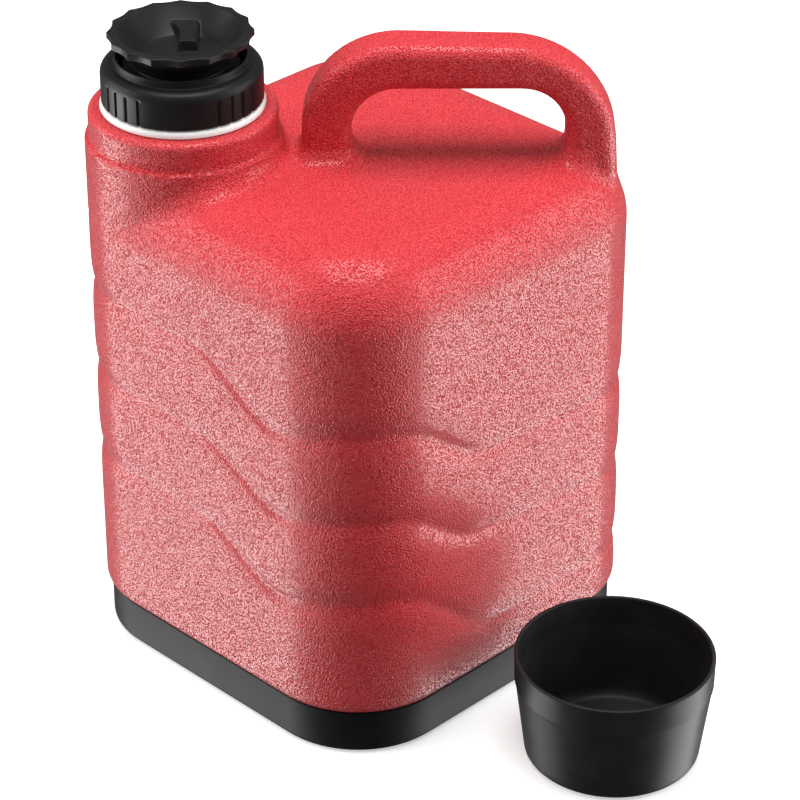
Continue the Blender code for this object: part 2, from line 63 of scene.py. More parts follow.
def middle_of(node):
    """The middle of a node's box, on the floor plane."""
    low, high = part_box(node)
    return Vector(((low.x + high.x) / 2, (low.y + high.y) / 2, 0))


neck_axis = middle_of("pour_collar")
cup_axis = middle_of("drinking_cup")
corner_r = 48 * MM
corner_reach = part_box("outer_shell")[1].x
corner_middle = corner_reach - corner_r
body_half = corner_middle / math.sqrt(2) + corner_r
body_top = 245.5 * MM
shell_wall = 2.5 * MM
gap = 0.3 * MM
print(f"body {2 * body_half:.3f} m square, neck at x = {neck_axis.x:.4f} m")

# %% [markdown]
# ## Helpers for round shapes
# Most of the black pieces are turned: a half section is spun about an axis. A section is drawn
# as a polygon whose corners carry a radius, because every edge of a moulded piece is a little
# round and catches light along it. `relief` moves points in or out by their angle and height,
# which is enough for scallops, grip slots and screw threads without any Boolean.


# %% Sections with rounded corners
def rounded(corners, closed=True, steps=4):
    """The points of a polygon of (a, b, radius) corners, with an arc at each corner."""
    points = []
    for i, (a, b, radius) in enumerate(corners):
        here = Vector((a, b))
        if radius == 0 or (not closed and i in (0, len(corners) - 1)):
            points.append(here)
            continue
        before = (Vector(corners[i - 1][:2]) - here).normalized()
        after = (Vector(corners[(i + 1) % len(corners)][:2]) - here).normalized()
        half = before.angle(after) / 2
        centre = here + (before + after).normalized() * radius / math.sin(half)
        start = here + before * radius / math.tan(half) - centre
        sweep = math.copysign(math.pi - 2 * half, before.cross(after))
        for k in range(steps + 1):
            points.append(centre + Matrix.Rotation(-sweep * k / steps, 2) @ start)
    return points


def refined(points, longest, closed=True):
    """The same outline, with each side cut into pieces no longer than a length."""
    ends = points[1:] + points[:1] if closed else points[1:]
    result = []
    for start, end in zip(points, ends):
        count = max(1, math.ceil((end - start).length / longest))
        result += [start.lerp(end, k / count) for k in range(count)]
    return result if closed else result + [points[-1]]


# %% Meshes and pieces
sharp_edge = math.radians(40)
same_point = 0.001 * MM


def mesh_of(name, points, faces):
    """A closed, smooth-shaded mesh with its faces pointing out."""
    bm = bmesh.new()
    verts = [bm.verts.new(point) for point in points]
    for face in faces:
        bm.faces.new([verts[i] for i in face])
    bmesh.ops.remove_doubles(bm, verts=bm.verts, dist=same_point)
    bmesh.ops.recalc_face_normals(bm, faces=bm.faces)
    mesh = bpy.data.meshes.new(name)
    bm.to_mesh(mesh)
    bm.free()
    mesh.shade_smooth()
    mesh.set_sharp_from_angle(angle=sharp_edge)
    return mesh


def ring_faces(rings, count, closed):
    """Quads between rings of count points each; the last ring joins the first if closed."""
    faces = []
    for j in range(rings if closed else rings - 1):
        here, there = j * count, (j + 1) % rings * count
        for i in range(count):
            k = (i + 1) % count
            faces.append((here + i, here + k, there + k, there + i))
    return faces


def turned(name, section, axis, count=192, relief=None, closed=True):
    """A section of (radius, z) spun about an upright axis; an open one starts and ends on it."""
    section = np.array([tuple(point) for point in section])
    angle = np.arange(count) * 2 * math.pi / count
    radius = np.repeat(section[:, :1], count, axis=1)
    height = np.repeat(section[:, 1:], count, axis=1)
    turn = np.repeat(angle[None], len(section), axis=0)
    if relief:
        outward, upward = relief(turn, radius, height)
        radius, height = radius + outward, height + upward
    x, y = axis.x + radius * np.cos(turn), axis.y + radius * np.sin(turn)
    points = np.stack([x, y, height], -1)
    return mesh_of(name, points.reshape(-1, 3), ring_faces(len(section), count, closed))


def piece(mesh, body, slot, finish, *nodes):
    """An object that rides on a body and stands for its CAD nodes; its slot argument is not used.
    """
    obj = bpy.data.objects.new(mesh.name, mesh)
    bpy.context.scene.collection.objects.link(obj)
    mesh.materials.append(finish)
    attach(obj, body)
    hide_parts(*nodes)
    print(f"{obj.name}: {len(mesh.polygons)} faces, rides on {body}")
    return obj


# %% [markdown]
# ## Shader maths in plain Python
# A material is a tree of nodes. Writing `height * 0.3 + 1` is easier to read than four lines
# that make and link Math nodes, so `Value` wraps a socket and lets Python's own operators add
# those nodes. Colours go through Mix nodes, because a Math node would turn them grey. A number
# that is the same all over a surface needs no node: it is set on the shader's own socket.


# %% A socket that can be calculated with
class Value:
    """An output socket in a finish, usable in Python expressions."""

    def __init__(self, finish, socket):
        self.finish = finish
        self.socket = socket

    def math(self, operation, a, b):
        return self.finish.node("ShaderNodeMath", {"operation": operation}, {0: a, 1: b})

    def __add__(self, other):
        return self.math("ADD", self, other)

    def __sub__(self, other):
        return self.math("SUBTRACT", self, other)

    def __rsub__(self, other):
        return self.math("SUBTRACT", other, self)

    def __mul__(self, other):
        return self.math("MULTIPLY", self, other)

    __radd__ = __add__
    __rmul__ = __mul__


# %% A finish being made
class Finish:
    """The nodes of a material or a world, and the one method that adds to them."""

    def __init__(self, owner, shader, **numbers):
        owner.use_nodes = True
        self.owner = owner
        self.tree = owner.node_tree
        self.shader = self.tree.nodes[shader]
        for name, number in numbers.items():
            self.shader.inputs[name.replace("_", " ")].default_value = number

    def node(self, kind, settings, sockets, output=0):
        """Adds a node: its settings first, then values or links for its sockets."""
        node = self.tree.nodes.new(kind)
        for key, value in settings.items():
            setattr(node, key, value)
        for key, value in sockets.items():
            if isinstance(value, Value):
                self.tree.links.new(value.socket, node.inputs[key])
            else:
                node.inputs[key].default_value = value
        return Value(self, node.outputs[output])

    def place(self):
        """Where a point is on the piece itself, so a pattern moves with its piece."""
        return self.node("ShaderNodeTexCoord", {}, {}, "Object")

    def noise(self, scale, detail, roughness=0.5):
        sockets = {"Vector": self.place(), "Scale": scale, "Detail": detail, "Roughness": roughness}
        return self.node("ShaderNodeTexNoise", {}, sockets, "Fac")

    def cells(self, scale):
        """How far a point is from the middle of its cell, in a pattern of uneven cells."""
        sockets = {"Vector": self.place(), "Scale": scale}
        return self.node("ShaderNodeTexVoronoi", {"feature": "F1"}, sockets, "Distance")

    def ramp(self, value, low, high):
        """0 below low, 1 above high and a soft step between them."""
        settings = {"interpolation_type": "SMOOTHSTEP"}
        return self.node("ShaderNodeMapRange", settings, {0: value, 1: low, 2: high})

    def mixed(self, factor, first, second):
        settings = {"data_type": "RGBA"}
        return self.node("ShaderNodeMix", settings, {0: factor, 6: first, 7: second}, 2)

    def edges(self, low, high):
        """1 along convex edges and 0 elsewhere."""
        return self.ramp(self.node("ShaderNodeNewGeometry", {}, {}, "Pointiness"), low, high)

    def bump(self, height, distance, strength):
        sockets = {"Height": height, "Distance": distance, "Strength": strength}
        return self.node("ShaderNodeBump", {}, sockets)

    def set(self, **sockets):
        """Links what varies over the surface to the shader."""
        for name, value in sockets.items():
            self.tree.links.new(value.socket, self.shader.inputs[name.replace("_", " ")])
        return self.owner


plastic_ior = 1.49


def new_finish(name, roughness, **numbers):
    """A material for plastic; it starts with the numbers that are the same all over."""
    material = bpy.data.materials.new(name)
    return Finish(material, "Principled BSDF", Roughness=roughness, IOR=plastic_ior, **numbers)


# %% [markdown]
# ## The shell's finish
# The red plastic is polyethylene with a pebbled skin: the mould is etched, and the grain is
# about a millimetre across. It could be real geometry, but that would take tens of millions of
# faces, so it is made in the material. Uneven cells give the pebbles, and a noise breaks up
# their regular size. On the real skin the crowns of the pebbles are polished and the valleys
# between them are dull; their colour is also painted darker there, as painted shade in the
# hollows. So the crowns carry a clear coat, whose weight follows the pattern, and the skin
# sparkles where it mirrors a light and stays quiet elsewhere.


# %% Pebbled red
cell_scale = 1150
fine_scale = 1400
red_dark, red_light = (0.80, 0.062, 0.072, 1), (0.85, 0.070, 0.080, 1)
# Painted shade: the darker red that the valleys between the pebbles are painted with.
red_valley_painted_shade = (0.54, 0.024, 0.032, 1)
red_worn = (0.86, 0.12, 0.13, 1)
pebble_height = 0.6 * MM


def pebbled_red():
    finish = new_finish("pebbled_red", 0.42, Specular_IOR_Level=0.22, Coat_Roughness=0.26)
    cells = finish.cells(cell_scale)
    fine = finish.noise(fine_scale, 1)
    broad = finish.noise(16, 3)
    grain = cells + fine * 0.5
    # The valley mask paints shade into the hollows between the pebbles and also makes them duller.
    valley_shade_and_dull = finish.ramp(grain, 0.50, 0.95)
    crown = finish.ramp(grain, 0.82, 0.58) * 0.72
    worn = finish.edges(0.51, 0.56)
    colour = finish.mixed(finish.ramp(broad, 0.3, 0.7), red_dark, red_light)
    # Painted shade: the valleys are mixed towards the darker red.
    colour = finish.mixed(valley_shade_and_dull, colour, red_valley_painted_shade)
    colour = finish.mixed(worn * 0.25, colour, red_worn)
    roughness = 0.19 + valley_shade_and_dull * 0.16 + broad * 0.06 - worn * 0.04
    normal = finish.bump(fine - cells * 0.8, pebble_height, 1)
    return finish.set(Base_Color=colour, Roughness=roughness, Coat_Weight=crown, Normal=normal)


red = pebbled_red()
print("finish:", red.name)

# %% [markdown]
# ## The black finishes
# All black pieces are injection-moulded polypropylene: nearly black, satin, with a very fine
# spark-eroded grain. They could share one material, but what tells them apart is how much they
# are handled: the base is the roughest, the collar and the stopper are satin, and the cup is
# the smoothest. One function makes the three, so they stay one family.


# %% Moulded black
grain_height = 0.06 * MM


def tinted(colour, times, more):
    """A colour made lighter by a factor and a little grey."""
    return tuple(times * channel + more for channel in colour[:3]) + (1,)


def moulded_black(name, roughness, gloss, grain, colour):
    finish = new_finish(name, roughness, Specular_IOR_Level=gloss)
    fine = finish.noise(2600, 2)
    cloudy = finish.noise(45, 4)
    worn = finish.edges(0.52, 0.60)
    dusty = tinted(colour, 1.5, 0.001)
    rubbed = tinted(colour, 3, 0.008)
    shade = finish.mixed(finish.ramp(cloudy, 0.35, 0.75), colour, dusty)
    shade = finish.mixed(worn * 0.5, shade, rubbed)
    rough = roughness - 0.05 + cloudy * 0.10 + fine * 0.05 - worn * 0.06
    normal = finish.bump(fine + cloudy * 0.3, grain_height, grain)
    return finish.set(Base_Color=shade, Roughness=rough, Normal=normal)


base_black = moulded_black("base_black", 0.46, 0.08, 0.55, (0.010, 0.0095, 0.0095, 1))
closure_black = moulded_black("closure_black", 0.38, 0.19, 0.35, (0.008, 0.008, 0.0085, 1))
cup_black = moulded_black("cup_black", 0.36, 0.09, 0.30, (0.018, 0.018, 0.018, 1))
print("finishes:", base_black.name, closure_black.name, cup_black.name)

# %% [markdown]
# ## White bottle, foam and seals
# The bottle is natural white polyethylene, a little waxy. The seals are grey silicone. The foam
# is poured polyurethane, cream coloured with open cells. Only a ring of the bottle shows, and
# flat colours would do for that, but a reader who takes the jug apart will meet the others. The
# first two differ only in colour and scale, so one function makes both.


# %% The inner finishes
def plain_finish(name, light, dark, roughness, scale, depth):
    finish = new_finish(name, roughness)
    spots = finish.noise(scale, 4, 0.6)
    cloudy = finish.noise(20, 3)
    colour = finish.mixed(finish.ramp(spots, 0.35, 0.65), dark, light)
    rough = roughness + cloudy * 0.10 - 0.05
    return finish.set(Base_Color=colour, Roughness=rough, Normal=finish.bump(spots, depth, 0.5))


foam_skin, foam_pore = (0.80, 0.66, 0.40, 1), (0.55, 0.42, 0.22, 1)
pore_depth = 0.4 * MM


def foam_finish():
    finish = new_finish("poured_foam", 0.9)
    cells = finish.cells(650)
    cloudy = finish.noise(30, 3)
    colour = finish.mixed(finish.ramp(cells, 0.2, 0.8), foam_skin, foam_pore)
    rough = 0.82 + cloudy * 0.12
    normal = finish.bump(cells, pore_depth, 0.8)
    return finish.set(Base_Color=colour, Roughness=rough, Normal=normal)


milk_white, shaded_white = (0.95, 0.95, 0.93, 1), (0.91, 0.91, 0.89, 1)
bottle_white = plain_finish("bottle_white", milk_white, shaded_white, 0.34, 900, 0.02 * MM)
pale_grey, mid_grey = (0.46, 0.47, 0.48, 1), (0.40, 0.41, 0.42, 1)
seal_grey = plain_finish("seal_grey", pale_grey, mid_grey, 0.55, 1400, 0.04 * MM)
poured_foam = foam_finish()
print("finishes:", bottle_white.name, seal_grey.name, poured_foam.name)

# %% [markdown]
# ## The shell as a formula
# The shell is one blown skin: a square body with round corners and a rolled shoulder, a stepped
# neck and a handle that flows out of the top. Lofts and Booleans would leave hard seams where
# they meet. So the shape is a distance formula instead: each part says how far a point is from
# its surface, minus inside, and two small functions join them. One rounds the edge between two
# faces, the other lays a fillet between two bodies, as a mould maker does.


# %% Joining distances
def round_both(a, b, radius):
    """Inside both a and b, with their common edge rounded."""
    corner = np.hypot(np.maximum(radius + a, 0), np.maximum(radius + b, 0))
    return np.minimum(-radius, np.maximum(a, b)) + corner


def fillet_join(a, b, radius):
    """Inside a or b, with a fillet where they meet."""
    corner = np.hypot(np.maximum(radius - a, 0), np.maximum(radius - b, 0))
    return np.maximum(radius, np.minimum(a, b)) - corner


def square_distance(x, y, half, radius):
    """How far a point is outside the rounded square whose corners lie on the axes."""
    u = np.abs(x + y) / math.sqrt(2) - (half - radius)
    v = np.abs(x - y) / math.sqrt(2) - (half - radius)
    outside = np.hypot(np.maximum(u, 0), np.maximum(v, 0))
    return outside + np.minimum(np.maximum(u, v), 0) - radius


# %% [markdown]
# ## The three wavy grooves
# Three grooves run round the body. Each keeps level, drops on the left face, keeps level round
# the front corner and drops again on the right face, and the back is the mirror of the front.
# They could be cut with swept tools, but a tool can't fade out, as these do in places. So each
# groove is part of the shell's formula: a narrow cut in a wide, shallow hollow, each with its
# own depth along the way. `girth` unrolls the wall: it is the way along the wall from the front
# corner, minus to the left. On that unrolled wall a groove is a list of levels with eased
# slopes between them. The stops in these lists are in millimetres.


# %% The unrolled wall
quarter = corner_r * math.pi / 2
flat = 2 * (body_half - corner_r)
half_way = quarter + flat


def girth(x, y):
    """The way round the wall from the front corner, minus to the left."""
    side, front = np.abs(x), -np.abs(y)
    along = (side + front) / math.sqrt(2)
    near_front = corner_r * np.arctan2(side, -(front + corner_middle))
    near_side = half_way - corner_r * np.arctan2(-front, side - corner_middle)
    way = quarter / 2 + flat / 2 + along
    way = np.where(along < -flat / 2, near_front, way)
    return np.copysign(np.where(along > flat / 2, near_side, way), x)


def eased(place, stops):
    """Reads a value off (place, value) stops in mm, with a soft slope between two of them."""
    places, values = np.array(stops).T * MM
    i = np.clip(np.searchsorted(places, place) - 1, 0, len(places) - 2)
    share = np.clip((place - places[i]) / (places[i + 1] - places[i]), 0, 1)
    share = share * share * (3 - 2 * share)
    return values[i] + (values[i + 1] - values[i]) * share


print(f"half way round: {half_way:.4f} m")

# %% Levels and depths of the grooves
upper_groove = [
    (-175, 184), (-130, 185), (-92, 185), (-40, 162), (-5, 168),
    (17, 167.5), (75, 139), (100, 137.5), (130, 136), (175, 132.5),
]
middle_groove = [
    (-175, 141), (-130, 141), (-90, 140), (-38, 120), (-4, 123.5),
    (18, 123), (68, 98), (95, 95), (130, 92), (175, 88),
]
lower_groove = [
    (-175, 98), (-130, 98), (-90, 97), (-40, 76.5), (-6, 80.5),
    (18, 81.5), (80, 46), (92, 46), (130, 46), (175, 45.5),
]
narrow_depth = [
    (-175, 0.8), (-150, 0.7), (-125, 0.2), (-95, 0.5), (-75, 1.25), (-48, 1.2), (-25, 0.4),
    (25, 0.5), (45, 0.9), (75, 0.6), (110, 0.3), (150, 0.5), (175, 0.9),
]
wide_depth = [
    (-175, 0.9), (-140, 0.5), (-100, 0.2), (-60, 0.4), (-30, 1.2),
    (30, 1.3), (60, 1.0), (110, 0.3), (150, 0.5), (175, 0.9),
]
narrow_width = 2.7 * MM
wide_width = 7.5 * MM


def carved(x, y, z):
    """How deep the grooves cut into the wall at a point."""
    way = girth(x, y)
    narrow, wide = eased(way, narrow_depth), eased(way, wide_depth)
    depth = 0
    for levels in (upper_groove, middle_groove, lower_groove):
        slope = (eased(way + MM, levels) - eased(way - MM, levels)) / (2 * MM)
        off = (z - eased(way, levels)) / np.hypot(1, slope)
        depth = depth + narrow * np.exp(-((off / narrow_width) ** 2))
        depth = depth + wide * np.exp(-((off / wide_width) ** 2))
    return depth


# %% Body and neck
shoulder_r = 31 * MM
foot_edge_r = 4.5 * MM
red_bottom = 22.1 * MM
rebate_inset = 5.2 * MM
rebate_bottom, rebate_top = 4.8 * MM, 30 * MM
bead_level, bead_half, bead_depth = 13 * MM, 1.3 * MM, 0.8 * MM
ring_r = 42.5 * MM
ring_top = 269 * MM
neck_foot_r = 44.4 * MM
neck_step = 255.4 * MM
neck_root_level = 220 * MM


def body_distance(x, y, z, groove):
    """The square body with its rolled shoulder and its rounded lower edge."""
    side = square_distance(x, y, body_half, corner_r) + groove
    upper = round_both(side, z - body_top, shoulder_r)
    lower = round_both(side, red_bottom - z, foot_edge_r)
    return np.maximum(upper, lower)


def rebate_distance(x, y, z):
    """The narrower foot that the base cover is pressed over, with a groove for its bead."""
    side = square_distance(x, y, body_half - rebate_inset, corner_r - rebate_inset)
    side = side + bead_depth * np.exp(-(((z - bead_level) / bead_half) ** 4))
    return np.maximum(side, np.maximum(rebate_bottom - z, z - rebate_top))


def neck_distance(x, y, z):
    """A wide foot, and on it the narrower ring that the cup's mouth fits over."""
    radius = np.hypot(x - neck_axis.x, y)
    foot = round_both(radius - neck_foot_r, z - neck_step, 0.8 * MM)
    ring = round_both(radius - ring_r, z - ring_top, 2.6 * MM)
    return np.maximum(np.minimum(foot, ring), neck_root_level - z)


# %% Handle
handle_left, handle_top, handle_right = -24.6 * MM, 301.2 * MM, 114.8 * MM
handle_fall, fall_from = 0.0227, 14.8 * MM
handle_lean, lean_share, lean_from = 0.0593, 0.9982, 261 * MM
handle_bend_r = 44 * MM
handle_root = 222 * MM
handle_half, handle_edge_r = 12 * MM, 6 * MM
opening_left, opening_right, opening_top = -2.5 * MM, 92.7 * MM, 279.5 * MM
opening_left_r, opening_right_r = 20.5 * MM, 20 * MM


def handle_distance(x, y, z):
    """An arch between a left side, a sloping top and a leaning right side, round its opening."""
    left = handle_left - x
    top = z - handle_top + handle_fall * (x - fall_from)
    right = lean_share * (x - handle_right) + handle_lean * (z - lean_from)
    arch = round_both(round_both(left, top, handle_bend_r), right, handle_bend_r)
    opening = round_both(opening_left - x, z - opening_top, opening_left_r)
    opening = round_both(opening, x - opening_right, opening_right_r)
    plan = np.maximum(np.maximum(arch, -opening), handle_root - z)
    return round_both(plan, np.abs(y) - handle_half, handle_edge_r)


# %% The whole shell
neck_fillet = [(-104, 0.8), (-64, 9)]
handle_fillet = [(98, 8), (117, 2.5)]


def shell_distance(points, grooves=True):
    """How far points are outside the whole shell's skin."""
    x, y, z = points.T
    groove = carved(x, y, z) if grooves else 0
    shape = body_distance(x, y, z, groove)
    shape = fillet_join(shape, neck_distance(x, y, z), eased(x, neck_fillet))
    shape = fillet_join(shape, handle_distance(x, y, z), eased(x, handle_fillet))
    return np.minimum(shape, rebate_distance(x, y, z))


top_spot = np.array([[0, -50 * MM, body_top]])
print(f"the flat top is {float(shell_distance(top_spot)[0]):.4f} m off the skin")


# %% [markdown]
# ## From a formula to a mesh
# To skin a formula, lay a grid over it. Each cell that the surface passes through gets one
# point, and each grid edge that it crosses gets one quad between the four cells around that
# edge. The points are then slid along the slope of the distance until they lie on the surface.
# The grid is turned by 45 degrees so that its rows follow the walls, and it is finer upwards
# than sideways, because the grooves run round the body.


# %% Points on the surface
nudge = 0.1 * MM
longest_slide = 2 * MM


def slid(distance, points, rounds):
    """Moves points on to the surface of a distance formula."""
    for _ in range(rounds):
        value = distance(points)
        changes = [distance(points + nudge * axis) - value for axis in np.eye(3)]
        slope = np.stack(changes, -1) / nudge
        steep = np.maximum((slope**2).sum(-1, keepdims=True), 0.25)
        points = points - slope * np.clip(value, -longest_slide, longest_slide)[:, None] / steep
    return points


def evened(points, quads):
    """Moves each point half way to the mean of the points that share a quad with it."""
    total = np.zeros_like(points)
    shares = np.zeros(len(points))
    middle = points[quads].mean(1)
    for k in range(4):
        np.add.at(total, quads[:, k], middle)
        np.add.at(shares, quads[:, k], 1)
    return (points + total / shares[:, None]) / 2


# %% The skin of a distance formula
def skin(name, distance, reach, low, high, step, rise):
    """The closed mesh of a distance formula, from a grid of steps turned by 45 degrees."""
    turn = np.array(Matrix.Rotation(math.radians(45), 3, "Z"))
    sides = np.arange(-reach, reach + step, step)
    levels = np.arange(low, high + rise, rise)
    grid = np.stack(np.meshgrid(sides, sides, levels, indexing="ij"), -1)
    inside = distance(grid.reshape(-1, 3) @ turn.T).reshape(grid.shape[:3]) < 0
    count = sum(
        inside[i : len(sides) - 1 + i, j : len(sides) - 1 + j, k : len(levels) - 1 + k].astype(int)
        for i in (0, 1) for j in (0, 1) for k in (0, 1)
    )
    crossed = (count > 0) & (count < 8)
    number = np.full(crossed.shape, -1)
    number[crossed] = np.arange(crossed.sum())
    points = grid[:-1, :-1, :-1][crossed] + np.array([step, step, rise]) / 2
    quads = []
    for axis in range(3):
        here = np.moveaxis(inside, axis, 0)
        cells = np.moveaxis(number, axis, 0)
        change = here[:-1] != here[1:]
        ends_in = here[:-1][:, 1:-1, 1:-1]
        change = change[:, 1:-1, 1:-1]
        around = [cells[:, :-1, :-1], cells[:, 1:, :-1], cells[:, 1:, 1:], cells[:, :-1, 1:]]
        quad = np.stack([c[change] for c in around], -1)
        flip = ends_in[change] == (axis == 1)
        quads.append(np.where(flip[:, None], quad[:, ::-1], quad))
    quads = np.concatenate(quads)
    points = slid(distance, points @ turn.T, 3)
    for _ in range(2):
        points = slid(distance, evened(points, quads), 2)
    mesh = bpy.data.meshes.new(name)
    mesh.from_pydata(points, [], quads.tolist())
    mesh.validate()
    mesh.shade_smooth()
    print(f"{name}: {len(points)} points, {len(quads)} quads")
    return mesh


# %% [markdown]
# ## The outer shell
# The blown wall is about 2.5 mm thick and the inside doesn't follow the grooves. So the inner
# skin is the same formula without grooves, set back by the wall. A Solidify modifier could
# thicken one skin, but it would carry the grooves through. A Boolean takes the inside away, and
# then two columns open the neck for the bottle and the hole for the foam.

# %% Outer shell
step = 2.3 * MM
rise = 1.4 * MM
reach = body_half + 6 * MM
grid_low, grid_high = -2 * MM, 306 * MM
outer_skin = skin("outer_shell_fine", shell_distance, reach, grid_low, grid_high, step, rise)


def inner_distance(points):
    """The inside of the blown wall."""
    return shell_distance(points, grooves=False) + shell_wall


inner_skin = skin("shell_inside", inner_distance, reach, grid_low, grid_high, 4 * MM, 3 * MM)


# %% Cutting tools
def column(name, radius, low, high, axis):
    """A plain round tool for a bore."""
    section = [(0, low), (radius, low), (radius, high), (0, high)]
    return turned(name, section, axis, 96, closed=False)


def cut(obj, mesh, operation="DIFFERENCE"):
    """Applies a Boolean of obj with a mesh that isn't kept."""
    tool = bpy.data.objects.new(mesh.name, mesh)
    bpy.context.scene.collection.objects.link(tool)
    boolean = obj.modifiers.new(mesh.name, "BOOLEAN")
    boolean.operation = operation
    boolean.solver = "MANIFOLD"
    boolean.object = tool
    bpy.context.view_layer.update()
    evaluated = obj.evaluated_get(bpy.context.evaluated_depsgraph_get())
    result = bpy.data.meshes.new_from_object(evaluated)
    result.name = obj.data.name
    obj.modifiers.clear()
    obj.data = result
    bpy.data.objects.remove(tool)
    return len(result.polygons)


# %% The shell, hollow and open
centre = Vector((0, 0, 0))
shell = piece(outer_skin, "jug", "red_shell", red, "outer_shell")
neck_r = 32.2 * MM
fill_hole_r = 12 * MM
print("with its hollow:", cut(shell, inner_skin))
bore = column("bore", neck_r + gap, 250 * MM, 280 * MM, neck_axis)
print("with its neck open:", cut(shell, bore))
hole = column("hole", fill_hole_r, 0, 12 * MM, centre)
print("with its hole:", cut(shell, hole))
shell.data.shade_smooth()
shell.data.set_sharp_from_angle(angle=math.radians(50))

# %% [markdown]
# ## The base cover
# A black tray is pressed over the shell's foot and snaps over a groove there. A scaled and
# bevelled box would give it uneven corners, so its section is swept round the body's square,
# as a turned piece's section is swept round a circle. The wall stands 2.4 mm inside the red
# wall, which leaves the dark line under the red, and its lower edge is well rounded so that the
# jug slides on a table.


# %% Base cover
def square_ring(offset, z, count):
    """Points round the body's square, moved out by an offset and spread evenly by angle."""
    points = []
    radius = corner_r + offset
    for corner in range(4):
        corner_turn = math.radians(90 * corner)
        pivot = Vector((math.cos(corner_turn), math.sin(corner_turn))) * corner_middle
        for k in range(count + 1):
            turn = corner_turn + math.radians(-45 + 90 * k / count)
            spot = pivot + Vector((math.cos(turn), math.sin(turn))) * radius
            points.append((spot.x, spot.y, z))
    return points


def swept_round(name, section, count=20):
    """A section of (offset, z) swept round the body's square, with both its ends capped."""
    rings = [square_ring(offset, z, count) for offset, z in section]
    points = [point for ring in rings for point in ring]
    size = len(rings[0])
    faces = ring_faces(len(rings), size, False)
    faces.append(tuple(range(size)))
    faces.append(tuple(range(size * (len(rings) - 1), size * len(rings))))
    return mesh_of(name, points, faces)


base_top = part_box("base_cover")[1].z
cover_outside, cover_inside = -2.4 * MM, -4.9 * MM
cover_floor = 3 * MM
cap_edge = -30 * MM
base_section = rounded([
    (cap_edge, cover_floor, 0),
    (cover_inside, cover_floor, 1.0 * MM),
    (cover_inside, 12 * MM, 0.3 * MM),
    (cover_inside - 0.8 * MM, 12.5 * MM, 0.3 * MM),
    (cover_inside - 0.8 * MM, 13.5 * MM, 0.3 * MM),
    (cover_inside, 14 * MM, 0.3 * MM),
    (cover_inside, base_top, 0.5 * MM),
    (cover_outside, base_top, 0.6 * MM),
    (cover_outside, 0, 3.0 * MM),
    (-12 * MM, 0, 0.3 * MM),
    (-13 * MM, 0.8 * MM, 0.3 * MM),
    (-20 * MM, 0.8 * MM, 0.3 * MM),
    (-21 * MM, 0, 0.3 * MM),
    (cap_edge, 0, 0),
], closed=False, steps=5)
piece(swept_round("base_cover_fine", base_section), "jug", "black_base", base_black, "base_cover")

# %% [markdown]
# ## The bottle's neck and the foam
# The inner bottle is blown too, but hardly any of it shows: its flange is the white ring under
# the collar. It is skinned from a formula like the shell, and a turned neck is joined on,
# because a screw thread needs finer steps than the rest. A helix swept along the neck would
# give a thread as well, but a relief needs no Boolean. The foam around the bottle is hidden, so
# its working solid stays and only takes the foam finish.

# %% Screw threads as relief
pitch = 5 * MM
thread_height = 1.2 * MM
ridge_half, ridge_flank = 1.0 * MM, 0.55 * MM
thread_turns = 1.25
run_out_turn = 0.15


def thread(start, wall, side, low, high):
    """A relief that raises a right-hand ridge of a turn and a quarter on a wall."""

    def relief(turn, radius, z):
        on_wall = (np.abs(radius - wall) < 0.05 * MM) & (z > low) & (z < high)
        height = np.zeros_like(radius)
        for lap in range(2):
            way = turn + 2 * math.pi * lap
            off = np.abs(z - start - pitch * way / (2 * math.pi))
            ridge = np.clip((ridge_half - off) / ridge_flank, 0, 1)
            begun = np.clip(way / run_out_turn, 0, 1)
            ended = np.clip((2 * math.pi * thread_turns - way) / run_out_turn, 0, 1)
            height = np.maximum(height, ridge * begun * ended * thread_height)
        return side * height * on_wall, 0

    return relief


# %% Inner bottle
bottle_half = 82.4 * MM
bottle_corner_r = 29 * MM
bottle_low, bottle_top = 22.4 * MM, 227.9 * MM
bottle_shoulder_r, bottle_foot_r = 22 * MM, 3 * MM
bottle_wall = 2 * MM
bottle_grid = (body_half, 15 * MM, 235 * MM)
flange_low, flange_top = ring_top + gap, ring_top + gap + 3.3 * MM
neck_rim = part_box("inner_bottle")[1].z
neck_bore_r = 29.8 * MM
flange_r = 37.0 * MM


def bottle_distance(points):
    x, y, z = points.T
    side = square_distance(x, y, bottle_half, bottle_corner_r)
    shape = round_both(side, z - bottle_top, bottle_shoulder_r)
    return np.maximum(shape, round_both(side, bottle_low - z, bottle_foot_r))


def bottle_inside(points):
    return bottle_distance(points) + bottle_wall


bottle_skin = skin("inner_bottle_fine", bottle_distance, *bottle_grid, 4 * MM, 4 * MM)
bottle = piece(bottle_skin, "jug", "white_bottle", bottle_white, "inner_bottle")

# %% The bottle's neck and hollow
neck_root = 211.9 * MM
neck_section = refined(rounded([
    (0, neck_root, 0),
    (neck_r, neck_root, 0),
    (neck_r, flange_low, 0.2 * MM),
    (flange_r, flange_low, 0.4 * MM),
    (flange_r, flange_top, 2.4 * MM),
    (neck_r, flange_top, 0.4 * MM),
    (neck_r, neck_rim, 0.5 * MM),
    (0, neck_rim, 0),
], closed=False), 0.4 * MM, closed=False)
neck_thread = thread(flange_top + 2.9 * MM, neck_r, 1, flange_top + 1 * MM, neck_rim - 0.6 * MM)
bottle_neck = turned("bottle_neck", neck_section, neck_axis, 256, neck_thread, closed=False)
print("with its neck:", cut(bottle, bottle_neck, "UNION"))
hollow = skin("bottle_inside", bottle_inside, *bottle_grid, 5 * MM, 5 * MM)
print("with its hollow:", cut(bottle, hollow))
bottle_bore = column("bottle_bore", neck_bore_r, neck_root + bottle_wall, 300 * MM, neck_axis)
print("with its bore:", cut(bottle, bottle_bore))
bottle.data.shade_smooth()
bottle.data.set_sharp_from_angle(angle=math.radians(35))

